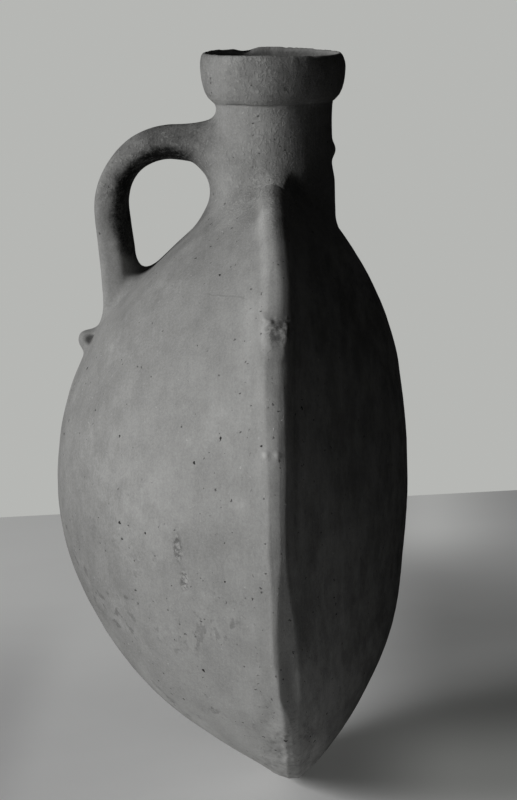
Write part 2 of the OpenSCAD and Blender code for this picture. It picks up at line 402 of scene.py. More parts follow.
def flask(x, y, z):
    """The field of the fired clay: negative inside the wall, positive in the air."""
    field, inside = bowls(x, y, z)
    blend_part(field, x, y, z, (-14, -150, 120), (14, 150, 290), rib_outside, RIB_BLEND)
    blend_part(field, x, y, z, (-16, -135, 200), (16, 135, 245), edge_lug_outside,
               LUG_BLEND)
    if z.max() > 230.0:
        m = in_box(x, y, z, (-70, -60, 230), (56, 60, 345))
        if m.any():
            px, py, pz = x[m], y[m], z[m]
            left = -(px - NECK_X) / (np.hypot(px - NECK_X, py) + 1e-6)
            reach = 3.5 + 5.5 * ramp(left, -0.75, 0.0) + 8.0 * ramp(left, 0.0, 0.9)
            part = smooth_min(field[m], neck_outside(px, py, pz), reach)
            part = smooth_min(part, boss_outside(px, py, pz), BOSS_BLEND)
            part = smooth_min(part, band_outside(px, py, pz), BAND_BLEND)
            field[m] = smooth_max(part, -under_line(px, py, pz), 0.4)
    if z.max() > 196.0:
        m = in_box(x, y, z, (-105, -45, 196), (-10, 60, 325))
        if m.any():
            px, py, pz = x[m], y[m], z[m]
            # Clay is pressed in deep under the arch and inside the lower root, and less outside
            reach = 5.0 + 15.0 * ramp(px, -52.0, -32.0) * ramp(-pz, -304.0, -290.0)
            reach += 6.0 * ramp(px, -77.0, -68.0) * ramp(-pz, -266.0, -251.0) * ramp(-px, 50.0, 62.0)
            field[m] = smooth_min(field[m], handle_outside(px, py, pz), reach)
    blend_part(field, x, y, z, (-102, -12, 192), (-80, 12, 222), face_lug_outside, NOSE_BLEND)
    m = in_box(x, y, z, (-98, -16, 200), (-82, 0, 215))
    if m.any():
        field[m] = smooth_max(field[m], -dimple(x[m], y[m], z[m]), 2.2)
    # Hollow inside, and the bore through the neck
    hollow = inside
    if z.max() > 230.0:
        hollow = np.minimum(inside, bore(x, y, z))
    return smooth_max(field, -hollow, 0.8)


def owners(x, y, z):
    """The number of the piece that each point of the clay belongs to.

    Added clay is bedded a little into what carries it, so no piece runs out to a thin flake."""
    bed = -1.6
    edge = 0.8
    r = np.hypot(y, z - CENTRE_Z)
    around = np.hypot(x - NECK_X, y)
    body = bowls(x, y, z)[0]
    owner = np.where(x < seam_shift(y, z, r), LABEL["deep_bowl"], LABEL["shallow_bowl"])
    owner = np.where(r > GROOVE_R, LABEL["seam_strip"], owner)
    owner = np.where((owner == LABEL["seam_strip"]) & (x < -12.0), LABEL["deep_bowl"], owner)
    proud = body > bed

    def claim(name, where):
        nonlocal owner
        owner = np.where(where, LABEL[name], owner)

    claim("handle", proud & (z > 264.0) & (x < -13.0))
    rib = proud & (rib_outside(x, y, z) < edge) & (z > 190.0)
    claim("front_rib", rib & (y < 0))
    claim("back_rib", rib & (y > 0))
    lug = proud & (edge_lug_outside(x, y, z) < edge)
    claim("front_lug", lug & (y < 0))
    claim("back_lug", lug & (y > 0))
    claim("neck", proud & (z > 246.0) & (around < NECK_HOLE_R + 3.0))
    coil = proud & (x < NECK_X) & (np.abs(y) < 0.95 * around) & (around < NECK_HOLE_R + 11.0)
    claim("neck_coil", coil & (z > 246.0) & (z < 288.0) & (around >= NECK_HOLE_R))
    claim("handle", proud & (handle_outside(x, y, z) < 1.5) & (around >= NECK_HOLE_R))
    claim("face_lug", proud & (face_lug_outside(x, y, z) < edge) & (x < -80.0))
    claim("neck", (around < NECK_HOLE_R) & (z > 236.0))
    claim("neck_boss", (boss_outside(x, y, z) < edge) & (around > NECK_R - 1.5) & (x > 0.0))
    claim("mouth_band", (z > BAND_Z) & ((z > NECK_TOP_Z) | (around > NECK_HOLE_R)))
    return owner


def untangle(label):
    """Settles places where a piece would touch itself only along an edge."""
    for axis in range(3):
        b, c = [n for n in range(3) if n != axis]
        part = {}
        for step_b in (0, 1):
            for step_c in (0, 1):
                cut = [slice(None)] * 3
                cut[b] = slice(1, None) if step_b else slice(None, -1)
                cut[c] = slice(1, None) if step_c else slice(None, -1)
                part[step_b, step_c] = label[tuple(cut)]
        for one, two, left, right in (((0, 0), (1, 1), (1, 0), (0, 1)),
                                      ((1, 0), (0, 1), (0, 0), (1, 1))):
            same = (part[one] == part[two]) & (part[one] > 0)
            same &= (part[left] != part[one]) & (part[right] != part[one])
            for side in (left, right):
                fix = same & (part[side] > 0)
                part[side][fix] = part[one][fix]
                same &= ~fix
            part[left][same] = part[one][same]


def keep_whole(label, name):
    """Gives specks of a piece to what lies around them."""
    steps = ((1, 0, 0), (-1, 0, 0), (0, 1, 0), (0, -1, 0), (0, 0, 1), (0, 0, -1))
    cells = set(map(tuple, np.argwhere(label == LABEL[name]).tolist()))
    groups = []
    while cells:
        group = [cells.pop()]
        for i, j, k in group:
            for di, dj, dk in steps:
                cell = (i + di, j + dj, k + dk)
                if cell in cells:
                    cells.remove(cell)
                    group.append(cell)
        groups.append(group)
    groups.sort(key=len)
    for group in groups[:-1]:
        for i, j, k in group:
            around = [label[i + di, j + dj, k + dk] for di, dj, dk in steps]
            around = [n for n in around if n not in (0, LABEL[name])]
            label[i, j, k] = around[0] if around else label[i, j, k]


# ---- Hand-made surface: dents, smoothing marks, chips ----

# Marks on the clay: (x, y, z, width along x, width along y, width along z, height)
MARKS = (
    # Clay smeared to the left of the rib and the lug
    (-9.5, -120.0, 216.0, 7.0, 22.0, 13.0, 1.1),
    (-6.0, -119.0, 223.0, 4.5, 14.0, 9.0, 0.9),
    (-7.5, -102.0, 236.0, 5.0, 16.0, 12.0, 0.8),
    (-4.0, -134.0, 203.0, 4.0, 12.0, 8.0, 0.5),
    # Two grains that stand out beside the seam, and a hollow facet low on it
    (-4.6, -138.0, 175.3, 1.5, 3.0, 1.6, 0.7),
    (0.4, -138.9, 175.3, 1.3, 3.0, 1.3, 0.55),
    (3.5, -123.0, 71.0, 3.2, 8.0, 8.0, -1.1),
    # The foot is a little fuller on the left, and its edge is knocked about
    (-9.0, -24.0, 6.0, 5.0, 40.0, 6.0, 0.9),
    (-9.0, -104.0, 50.0, 5.0, 10.0, 6.0, -0.6),
    (-4.0, -84.0, 28.0, 5.0, 8.0, 4.0, -0.7),
    # Clay pressed in under the arch where the handle meets the neck
    (-39.0, 4.0, 287.5, 8.0, 16.0, 5.0, 1.0),
    # A dip under the boss on the neck
    (26.0, 0.0, 285.5, 8.0, 16.0, 4.5, -1.0),
    # A chip in the lip, at the back left
    (-15.5, 27.0, 339.0, 4.6, 6.0, 4.0, -1.7),
    (-23.5, 20.0, 339.0, 3.0, 4.0, 3.0, -0.5),
)

# How far each side stands out from a true round, by height
LEFT_SWELL = ((0.0, 0.0), (13.0, 0.2), (24.0, 0.2), (46.0, 0.8), (58.0, 0.9), (70.0, 0.7),
              (91.0, 0.1), (102.0, 0.5), (125.0, 0.5), (143.0, 0.2), (155.0, 0.1), (165.0, -0.5),
              (176.0, -0.1), (200.0, 0.0))
RIGHT_SWELL = ((0.0, 0.8), (12.0, 0.6), (24.0, 1.0), (46.0, 0.3), (80.0, 0.0), (94.0, -0.6),
               (111.0, -0.6), (127.0, -0.2), (143.0, 0.1), (164.0, 0.3), (191.0, 0.6),
               (205.0, 0.8), (225.0, 0.4), (236.0, 0.0))


def relief(x, y, z, owner):
    """How far the real surface stands out from the field, in millimetres."""
    r = np.hypot(y, z - CENTRE_Z)
    around = np.hypot(x - NECK_X, y)
    theta = np.arctan2(y, z - CENTRE_Z)
    turn = np.arctan2(y, x - NECK_X)
    on_body = 1.0 - ramp(z, 258.0, 275.0)
    height = 0.30 * noise(x / 34.0, y / 34.0, z / 34.0, 1)
    height += 0.16 * noise(x / 13.0 + 5.2, y / 13.0, z / 13.0, 2)
    height += 0.05 * noise(x / 4.2, y / 4.2 + 7.7, z / 4.2, 3)
    # Smoothing marks run round the bowls, and round the neck
    height += 0.05 * on_body * noise(x / 3.6, r / 3.6, theta * 5.0, 4)
    # The pared seam is a little coarser, in short facets
    seam = ramp(r, 134.5, 137.5) * on_body
    height += 0.18 * seam * noise(x / 5.0, r / 6.0, theta * 14.0, 8)
    # The bowls are not quite round, and the foot is fuller than the rest and knocked about
    swell = 0.0
    for lift in (-9.0, -4.5, 0.0, 4.5, 9.0):
        left, right = (np.interp(z + lift, *np.array(t).T) for t in (LEFT_SWELL, RIGHT_SWELL))
        swell = swell + 0.2 * np.where(x < 0.0, left, right)
    height += swell * ramp(np.abs(x), 2.0, 14.0)
    knocked = ramp(-z, -62.0, -30.0) * ramp(-np.abs(x), -20.0, -6.0)
    height += 0.26 * knocked * noise(x / 2.0, y / 2.4, z / 2.0, 11)
    height += 0.07 * (1.0 - on_body) * noise(turn * 9.0, z / 14.0, around / 30.0, 5)
    for sx, sy, sz, wide, high in SCARS:
        place = np.exp(-((x - sx) / wide) ** 2 - ((y - sy) / 12.0) ** 2 - ((z - sz) / high) ** 2)
        height += place * (0.8 * noise(x / 1.3, y / 1.7, z / 2.0, 9) - 0.3)
    # The lugs on the edge are broken off: rough on top
    rough = np.isin(owner, (LABEL["front_lug"], LABEL["back_lug"])) * ramp(z, 224.0, 227.0)
    height += rough * (0.6 * noise(x / 1.7, y / 1.7, z / 1.7, 6) - 0.2)
    # Lip: worn and uneven
    lip = ramp(z, 333.0, 337.5)
    height = height * (1.0 - 0.8 * lip) - 0.12 * (1.0 - lip)
    height += 0.14 * lip * noise(x / 3.0, y / 3.0, 3.0, 7)
    for mx, my, mz, wx, wy, wz, size in MARKS:
        height += size * np.exp(-((x - mx) / wx) ** 2 - ((y - my) / wy) ** 2 - ((z - mz) / wz) ** 2)
    return height


# ---- Meshing: one vertex for each cell that a boundary crosses ----

def spaced(edges):
    """Coordinates along an axis, from (start, end, step) stretches that follow one another."""
    out = []
    for start, end, step in edges:
        count = max(int(round((end - start) / step)), 1)
        out.append(start + (end - start) * np.arange(count) / count)
    out.append(np.array([edges[-1][1]]))
    return np.concatenate(out)


def sample_grid(scale):
    """The field and the owner of each grid point; the grid is finer at the seam and the neck."""
    xs = spaced([(-112.0, -10.0, 1.05 * scale), (-10.0, 9.0, 0.6 * scale),
                 (9.0, 60.0, 1.05 * scale)])
    ys = spaced([(-147.0, -44.0, 1.45 * scale), (-44.0, 44.0, 0.95 * scale),
                 (44.0, 147.0, 1.45 * scale)])
    zs = spaced([(-3.0, 196.0, 1.4 * scale), (196.0, 311.0, 0.9 * scale),
                 (311.0, 318.0, 0.5 * scale), (318.0, 343.0, 0.8 * scale)])
    field = np.empty((len(xs), len(ys), len(zs)), np.float32)
    label = np.zeros(field.shape, np.uint8)
    layers = 6
    for k in range(0, len(zs), layers):
        x, y, z = np.meshgrid(xs, ys, zs[k:k + layers], indexing="ij")
        x, y, z = x.ravel(), y.ravel(), z.ravel()
        f = flask(x, y, z)
        own = np.zeros(f.shape, np.uint8)
        solid = f < 0.0
        own[solid] = owners(x[solid], y[solid], z[solid])
        shape = (len(xs), len(ys), -1)
        field[:, :, k:k + layers] = f.reshape(shape)
        label[:, :, k:k + layers] = own.reshape(shape)
    for _ in range(2):
        untangle(label)
    for name in PIECES[2:]:
        keep_whole(label, name)
    for _ in range(3):
        untangle(label)
    return xs, ys, zs, field, label


def crossings(label, axis):
    """Grid edges along an axis whose two ends belong to different pieces, or to clay and air."""
    low = [slice(None)] * 3
    high = [slice(None)] * 3
    low[axis], high[axis] = slice(None, -1), slice(1, None)
    a, b = label[tuple(low)], label[tuple(high)]
    where = np.argwhere(a != b)
    return where, a[tuple(where.T)], b[tuple(where.T)]


def boundary_mesh(xs, ys, zs, field, label):
    """Points, and faces with the piece on either side of each face."""
    axes = (xs, ys, zs)
    cells = tuple(n - 1 for n in label.shape)
    quads, sides, sums = [], [], []
    for axis in range(3):
        where, la, lb = crossings(label, axis)
        b, c = (axis + 1) % 3, (axis + 2) % 3
        step = np.zeros(3, int)
        step[axis] = 1
        upper = where + step
        fa, fb = field[tuple(where.T)], field[tuple(upper.T)]
        air = (la == 0) | (lb == 0)
        t = np.where(air, np.clip(fa / np.where(fa == fb, 1.0, fa - fb), 0.0, 1.0), 0.5)
        spot = np.stack([axes[n][where[:, n]] for n in range(3)], 1)
        end = axes[axis][upper[:, axis]]
        spot[:, axis] += t * (end - spot[:, axis])
        corners = []
        for db, dc in ((-1, -1), (0, -1), (0, 0), (-1, 0)):
            cell = where.copy()
            cell[:, b] += db
            cell[:, c] += dc
            corners.append(np.ravel_multi_index(tuple(cell.T), cells))
        quads.append(np.stack(corners, 1))
        sides.append(np.stack([la, lb], 1))
        sums.append((spot, air))
    quads = np.concatenate(quads)
    sides = np.concatenate(sides)
    spots = np.concatenate([s[0] for s in sums])
    air = np.concatenate([s[1] for s in sums])
    used, index = np.unique(quads, return_inverse=True)
    index = index.reshape(quads.shape)
    # A vertex on the surface sits in the middle of the surface's own crossings
    points = np.zeros((len(used), 3))
    weight = np.zeros(len(used))
    share = np.where(air, 1.0, 1e-6)
    for corner in range(4):
        weight += np.bincount(index[:, corner], share, len(used))
        for n in range(3):
            points[:, n] += np.bincount(index[:, corner], share * spots[:, n], len(used))
    points /= weight[:, None]
    on_surface = np.zeros(len(used), bool)
    on_surface[index[air].ravel()] = True
    return points, index, sides, air, on_surface


def slope_of(points):
    step = 0.02
    x, y, z = points.T
    base = flask(x, y, z)
    slope = np.stack([flask(x + step, y, z), flask(x, y + step, z), flask(x, y, z + step)], 1)
    return base, (slope - base[:, None]) / step


def settle(points, rows, limit):
    """Moves surface points onto the field's zero, by no more than a limit."""
    base, slope = slope_of(points[rows])
    push = -base[:, None] * slope / (np.sum(slope * slope, 1)[:, None] + 1e-4)
    size = np.linalg.norm(push, axis=1)
    push *= np.minimum(1.0, limit / (size + 1e-9))[:, None]
    points[rows] += push


def relax(points, faces, rows):
    """Moves surface points towards the middle of the faces around them."""
    middle = points[faces].mean(1)
    total = np.zeros_like(points)
    count = np.zeros(len(points))
    for corner in range(4):
        count += np.bincount(faces[:, corner], None, len(points))
        for n in range(3):
            total[:, n] += np.bincount(faces[:, corner], middle[:, n], len(points))
    points[rows] += 0.6 * (total[rows] / count[rows, None] - points[rows])


def surface_normals(points, faces, lower):
    """Point normals from the faces on the air alone; lower tells whether the clay is below."""
    p = points[faces]
    normal = np.cross(p[:, 2] - p[:, 0], p[:, 3] - p[:, 1])
    normal[~lower] *= -1.0
    total = np.zeros_like(points)
    for corner in range(4):
        for n in range(3):
            total[:, n] += np.bincount(faces[:, corner], normal[:, n], len(points))
    return total / (np.linalg.norm(total, axis=1)[:, None] + 1e-12)


def build_surface():
    """All points and faces of the flask, with the pieces on either side of each face."""
    scale = 1.0
    xs, ys, zs, field, label = sample_grid(scale)
    points, quads, sides, air, on_surface = boundary_mesh(xs, ys, zs, field, label)
    rows = np.flatnonzero(on_surface)
    skin = quads[air]
    lower = sides[air][:, 1] == 0
    settle(points, rows, 1.2)
    for _ in range(3):
        relax(points, skin, rows)
        settle(points, rows, 0.8)
    normals = surface_normals(points, skin, lower)
    inward = points[rows] - 0.6 * normals[rows]
    owner = owners(*inward.T)
    points[rows] += normals[rows] * relief(*points[rows].T, owner)[:, None]
    low = np.array(cad_box[0]) / MM + 0.01
    high = np.array(cad_box[1]) / MM - 0.01
    low[2] = 0.0
    points[:] = np.clip(points, low, high)
    # Joints between pieces stay under the skin
    joint = np.flatnonzero(~on_surface)
    base, slope = slope_of(points[joint])
    near = base > -1.0
    slope = slope[near] / (np.linalg.norm(slope[near], axis=1)[:, None] + 1e-6)
    points[joint[near]] -= (base[near, None] + 1.0) * slope
    normals = surface_normals(points, skin, lower)
    return points, quads, sides, air, normals


def make_piece(name, surface, material):
    """One closed mesh from the faces that border a piece."""
    points, quads, sides, air, normals = surface
    number = LABEL[name]
    first = sides[:, 0] == number
    second = sides[:, 1] == number
    faces = np.concatenate([quads[first], quads[second][:, ::-1]])
    smooth = np.concatenate([air[first], air[second]])
    used, index = np.unique(faces, return_inverse=True)
    mesh = bpy.data.meshes.new(name + "_clay")
    mesh.vertices.add(len(used))
    mesh.vertices.foreach_set("co", (points[used] * MM).ravel())
    mesh.loops.add(faces.size)
    mesh.loops.foreach_set("vertex_index", index.ravel().astype(np.int32))
    mesh.polygons.add(len(faces))
    mesh.polygons.foreach_set("loop_start", np.arange(0, faces.size, 4, dtype=np.int32))
    mesh.polygons.foreach_set("use_smooth", smooth)
    mesh.update(calc_edges=True)
    mesh.validate()
    corner_normals = np.where(np.repeat(smooth, 4)[:, None], normals[faces.ravel()], 0.0)
    mesh.normals_split_custom_set(corner_normals.tolist())
    mesh.materials.append(material)
    piece = bpy.data.objects.new(name + "_clay", mesh)
    bpy.context.scene.collection.objects.link(piece)
    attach(piece, "root")
    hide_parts(name)


# ---- Clay material ----

class Nodes:
    """Short names for making shader nodes."""

    def __init__(self, tree):
        self.tree = tree

    def new(self, kind, **values):
        node = self.tree.nodes.new(kind)
        for key, value in values.items():
            setattr(node, key, value)
        return node

    def put(self, socket, value):
        if isinstance(value, bpy.types.NodeSocket):
            self.tree.links.new(value, socket)
        else:
            socket.default_value = value

    def math(self, operation, a, b=None, clamp=False):
        node = self.new("ShaderNodeMath", operation=operation, use_clamp=clamp)
        self.put(node.inputs[0], a)
        if b is not None:
            self.put(node.inputs[1], b)
        return node.outputs[0]

    def add(self, a, b):
        return self.math("ADD", a, b)

    def sub(self, a, b):
        return self.math("SUBTRACT", a, b)

    def mul(self, a, b):
        return self.math("MULTIPLY", a, b)

    def vector(self, x, y, z):
        node = self.new("ShaderNodeCombineXYZ")
        for socket, value in zip(node.inputs, (x, y, z)):
            self.put(socket, value)
        return node.outputs[0]

    def noise(self, place, scale, detail=2.0, rough=0.5):
        node = self.new("ShaderNodeTexNoise")
        self.put(node.inputs["Vector"], place)
        node.inputs["Scale"].default_value = scale
        node.inputs["Detail"].default_value = detail
        node.inputs["Roughness"].default_value = rough
        return node.outputs[0]

    def cells(self, place, scale):
        """Distance to the nearest of scattered points, and a random number for each point."""
        node = self.new("ShaderNodeTexVoronoi")
        self.put(node.inputs["Vector"], place)
        node.inputs["Scale"].default_value = scale
        split = self.new("ShaderNodeSeparateColor")
        self.put(split.inputs[0], node.outputs["Color"])
        return node.outputs["Distance"], split.outputs[0]

    def ramp(self, value, low, high, out_low=0.0, out_high=1.0):
        node = self.new("ShaderNodeMapRange", interpolation_type="SMOOTHSTEP")
        for socket, number in zip(node.inputs, (value, low, high, out_low, out_high)):
            self.put(socket, number)
        return node.outputs[0]

    def spots(self, place, scale, radius, share, soft=0.6):
        """Round spots of mixed size on a share of the scattered points."""
        distance, number = self.cells(place, scale)
        left = self.math("DIVIDE", self.sub(share, number), share, clamp=True)
        size = self.mul(self.math("POWER", left, 1.6), radius)
        inner = self.mul(size, 1.0 - soft)
        gap = self.sub(size, distance)
        width = self.math("MAXIMUM", self.sub(size, inner), 0.001)
        return self.math("DIVIDE", gap, width, clamp=True)

    def near(self, place, spot, wide, tall):
        """One at a spot of the surface, falling to nothing a width or a height away."""
        offset = self.new("ShaderNodeVectorMath", operation="SUBTRACT")
        self.put(offset.inputs[0], place)
        offset.inputs[1].default_value = spot
        shrunk = self.new("ShaderNodeVectorMath", operation="DIVIDE")
        self.put(shrunk.inputs[0], offset.outputs[0])
        shrunk.inputs[1].default_value = (1.6 * wide, 15.0, 1.6 * tall)
        length = self.new("ShaderNodeVectorMath", operation="LENGTH")
        self.put(length.inputs[0], shrunk.outputs[0])
        return self.ramp(length.outputs["Value"], 1.0, 0.35)

    def grey(self, tone):
        """A grey of the given brightness."""
        node = self.new("ShaderNodeCombineColor")
        for socket in node.inputs[:3]:
            self.put(socket, tone)
        return node.outputs[0]


def clay_places(n):
    """Where things are on the clay, in millimetres, and the patterns that tone and bump share."""
    coords = n.new("ShaderNodeTexCoord")
    scale = n.new("ShaderNodeVectorMath", operation="SCALE")
    n.put(scale.inputs[0], coords.outputs["Object"])
    scale.inputs["Scale"].default_value = 1.0 / MM
    mm = scale.outputs[0]
    split = n.new("ShaderNodeSeparateXYZ")
    n.put(split.inputs[0], mm)
    x, y, z = split.outputs
    up = n.sub(z, CENTRE_Z)
    r = n.math("SQRT", n.add(n.mul(y, y), n.mul(up, up)))
    theta = n.math("ARCTAN2", y, up)
    p = SimpleNamespace(mm=mm, x=x, y=y, z=z, r=r, theta=theta)

    # Regions, each from 0 to 1
    p.front = n.ramp(y, -10.0, -40.0)
    p.high = n.ramp(z, 255.0, 285.0)
    p.seam = n.mul(n.ramp(r, 139.0, 140.5), n.mul(n.ramp(x, -2.4, -0.6), n.ramp(x, 5.0, 4.0)))
    p.arm = n.mul(n.ramp(x, -22.0, -36.0), n.ramp(z, 232.0, 285.0))
    p.foot = n.mul(n.ramp(z, 75.0, 45.0), n.ramp(n.math("ABSOLUTE", x), 26.0, 8.0))
    crusty = n.mul(p.high, n.math("MAXIMUM", p.front, n.mul(p.arm, 0.8)))
    p.crusty = crusty

    # Streaks that run round the bowls, mottling, and two sizes of grain
    round_bowls = n.vector(x, r, n.mul(theta, 7.0))
    p.streak = n.noise(round_bowls, 0.42, 3.0, 0.6)
    p.fine_streak = n.noise(round_bowls, 1.7, 2.0, 0.6)
    p.mottle = n.noise(mm, 0.06, 5.0, 0.68)
    p.grain = n.noise(mm, 0.9, 3.0, 0.7)
    p.dust = n.noise(mm, 2.6, 2.0, 0.6)
    p.crust = n.mul(n.ramp(n.noise(mm, 0.45, 4.0, 0.75), 0.48, 0.62), crusty)

    # Spots with ragged edges
    ragged = n.new("ShaderNodeTexNoise")
    n.put(ragged.inputs["Vector"], mm)
    ragged.inputs["Scale"].default_value = 0.9
    shift = n.new("ShaderNodeVectorMath", operation="MULTIPLY_ADD")
    n.put(shift.inputs[0], ragged.outputs["Color"])
    shift.inputs[1].default_value = (2.2, 2.2, 2.2)
    n.put(shift.inputs[2], mm)
    torn = shift.outputs[0]
    p.light_grit = n.spots(torn, 0.21, 0.16, 0.6, 0.5)
    p.small_grit = n.spots(torn, 0.50, 0.30, n.add(n.mul(crusty, 0.5), 0.28))
    share = n.add(n.sub(n.mul(p.foot, 0.5), n.mul(p.high, 0.22)), 0.36)
    p.pits = n.mul(n.spots(torn, 0.17, 0.17, share, 0.25), n.sub(1.0, n.mul(p.high, 0.6)))
    p.pores = n.spots(torn, 0.42, 0.26, n.add(n.mul(p.seam, 0.3), 0.22), 0.3)
    return p


def loop_painted_shade(n, p):
    """Painted shade inside the loop, above the shoulder."""
    across = n.mul(n.add(p.x, 53.0), 1.1)
    up = n.sub(p.z, 265.0)
    away = n.math("SQRT", n.add(n.mul(across, across), n.mul(up, up)))
    away = n.add(away, n.mul(n.noise(p.mm, 0.15, 3.0, 0.6), 6.0))
    slope = math.radians(SHOULDER[2])
    above = n.sub(n.mul(n.sub(p.z, SHOULDER[1]), math.cos(slope)),
                  n.mul(n.sub(p.x, SHOULDER[0]), math.sin(slope)))
    painted_shade = n.mul(n.ramp(away, 36.0, 29.0), n.ramp(p.x, -30.0, -46.0))
    return n.mul(painted_shade, n.ramp(above, -1.5, 3.5))


def old_stains(n, p):
    """Stains low on the deep bowl, in dabs drawn out from the middle of the bowl."""
    low = n.mul(n.ramp(p.z, 18.0, 50.0), n.ramp(p.z, 150.0, 100.0))
    low = n.mul(low, n.ramp(p.x, 2.0, -12.0))
    outwards = n.vector(n.mul(p.theta, 75.0), n.mul(p.r, 0.3), p.x)
    dabs = n.ramp(n.noise(outwards, 0.2, 3.0, 0.6), 0.56, 0.64)
    cloud = n.ramp(n.noise(p.mm, 0.035, 2.0, 0.5), 0.46, 0.58)
    return n.mul(n.mul(dabs, cloud), low)


def scratch_line(n, p):
    """A thin wavering scratch on the front of the shoulder, left of the rib."""
    left, right, level = SCRATCH
    line = n.add(p.z, n.mul(n.noise(p.mm, 0.12, 2.0, 0.5), 2.5))
    line = n.math("ABSOLUTE", n.sub(line, level + 1.25))
    length = n.mul(n.ramp(p.x, left - 3.0, left), n.ramp(p.x, right + 3.0, right))
    return n.mul(n.mul(n.ramp(line, 0.5, 0.1), length), p.front)


def clay_tone(n, p):
    """How bright the clay is, against its plain grey, with painted light and shade."""
    mm, x, y, z = p.mm, p.x, p.y, p.z

    def layer(mask, amount):
        nonlocal tone
        tone = n.add(tone, n.mul(mask, amount))

    tone = n.add(n.ramp(n.noise(mm, 0.016, 3.0, 0.6), 0.30, 0.70, -0.05, 0.05), 1.0)
    tone = n.add(tone, n.ramp(p.mottle, 0.30, 0.70, -0.09, 0.09))
    tone = n.add(tone, n.ramp(p.streak, 0.30, 0.70, -0.02, 0.02))
    # Pale dust clings in patches to the front. Painted light makes the front of the bowls paler;
    # painted shade darkens neck and band to the right, and painted light brightens their left
    patch = n.ramp(n.noise(mm, 0.035, 5.0, 0.72), 0.52, 0.66)
    layer(n.mul(patch, p.front), 0.13)
    tone = n.add(tone, n.ramp(y, -30.0, -125.0, -0.04, 0.14))
    layer(p.high, n.ramp(x, 10.0, -6.0, -0.12, 0.07))
    # Smears run round the shallow bowl
    smear = n.vector(x, n.mul(p.r, 0.7), n.mul(p.theta, 34.0))
    smear = n.ramp(n.noise(smear, 0.11, 6.0, 0.75), 0.36, 0.64, -0.24, 0.24)
    layer(n.mul(smear, n.ramp(x, 3.0, 8.0)), n.ramp(z, 270.0, 240.0))
    # Pale clay rubbed on beside the rib and at the front of the neck's foot
    layer(n.add(n.near(mm, (-8.5, -112.0, 236.0), 6.0, 15.0),
                n.near(mm, (-6.0, -70.0, 266.0), 5.0, 8.0)), 0.17)
    # Painted shade and light, for how the low light falls: darker towards the shoulder and at the
    # widest of the lower half, paler at the foot, and darker towards the crown of the deep bowl
    tone = n.sub(tone, n.ramp(z, 185.0, 240.0, 0.0, 0.08))
    tone = n.sub(tone, n.mul(n.ramp(z, 70.0, 95.0, 0.0, 0.09), n.ramp(z, 160.0, 125.0)))
    tone = n.add(tone, n.ramp(z, 75.0, 15.0, 0.0, 0.20))
    tone = n.sub(tone, n.ramp(x, -50.0, -100.0, -0.03, 0.13))
    # The handle is darker, most of all its arch; painted shade darkens the inside of the mouth
    layer(p.arm, -0.25)
    arch = n.mul(n.ramp(x, -68.0, -60.0), n.ramp(x, -24.0, -32.0))
    layer(n.mul(arch, n.mul(n.ramp(z, 286.0, 296.0), n.ramp(z, 312.0, 306.0))), -0.22)
    from_axis = n.add(n.math("POWER", n.sub(x, NECK_X), 2.0), n.mul(y, y))
    layer(n.mul(n.ramp(from_axis, 930.0, 860.0), n.ramp(z, 318.0, 326.0)), -0.34)
    # Painted light makes the outer side of the handle paler
    outer = n.mul(n.ramp(x, -72.0, -79.0), n.ramp(z, 203.0, 215.0))
    layer(n.mul(outer, n.ramp(z, 292.0, 280.0)), 0.13)
    # Painted light makes the front beside the seam paler
    beside = n.mul(n.ramp(x, -30.0, -12.0), n.ramp(x, 1.0, -3.0))
    layer(n.mul(beside, p.front), n.ramp(z, 262.0, 245.0, 0.0, 0.08))
    layer(n.ramp(n.noise(mm, 0.10, 4.0, 0.7), 0.35, 0.65, -0.15, 0.15), p.crusty)
    # Painted shade inside the loop
    layer(loop_painted_shade(n, p), -0.62)
    layer(p.seam, -0.08)
    tone = n.add(tone, n.ramp(p.grain, 0.30, 0.70, -0.08, 0.08))
    tone = n.add(tone, n.ramp(p.dust, 0.30, 0.70, -0.06, 0.06))
    layer(old_stains(n, p), -0.26)
    # Scars where the skin of the clay has come away, and a scratch
    speckle = n.ramp(n.noise(mm, 0.42, 3.0, 0.7), 0.40, 0.60, -0.45, 0.30)
    for sx, sy, sz, wide, tall in SCARS:
        layer(n.near(mm, (sx, sy, sz), wide, tall), speckle)
    layer(scratch_line(n, p), -0.14)
    # Painted shade in the dimple of the nose, and grit on the neck, the band and the handle
    layer(n.near(mm, (-89.6, -6.5, 207.8), 2.6, 1.9), -0.30)
    layer(p.crust, 0.19)
    # Two pale grains beside the seam
    for spot in ((-4.9, -138.0, 175.3), (0.2, -138.9, 175.3)):
        layer(n.near(mm, spot, 1.1, 1.2), 0.30)
    # Blotches on the foot
    layer(n.mul(n.ramp(n.noise(mm, 0.16, 4.0, 0.7), 0.52, 0.62), p.foot), -0.22)
    # Painted shade, speckled, on the broken and pitted top of the lug on the seam
    broken = n.near(mm, (1.5, -122.0, 226.5), 5.0, 5.5)
    layer(broken, n.ramp(n.noise(mm, 0.5, 3.0, 0.7), 0.42, 0.58, -0.50, -0.05))
    layer(p.light_grit, 0.40)
    layer(p.small_grit, 0.26)
    # Painted shade darkens the pits and pores
    tone = n.mul(tone, n.sub(1.0, n.mul(p.pits, 0.88)))
    tone = n.mul(tone, n.sub(1.0, n.mul(p.pores, 0.62)))
    return n.math("MAXIMUM", tone, 0.05)


def clay_height(n, p):
    """Fine relief of the clay, in millimetres."""
    height = n.mul(p.grain, 0.16)
    height = n.add(height, n.mul(p.dust, 0.07))
    height = n.add(height, n.mul(p.streak, n.ramp(p.z, 20.0, 60.0, 0.03, 0.11)))
    height = n.add(height, n.mul(p.fine_streak, 0.04))
    # The neck is scored downwards by the fingers that wiped it
    wiped = n.noise(n.vector(p.x, p.y, n.mul(p.z, 0.16)), 0.7, 4.0, 0.7)
    height = n.add(height, n.mul(n.mul(wiped, p.high), 0.30))
    for pattern, size in ((p.crust, 0.40), (p.light_grit, 0.16), (p.small_grit, 0.10),
                          (p.pits, -0.60), (p.pores, -0.22)):
        height = n.add(height, n.mul(pattern, size))
    return height


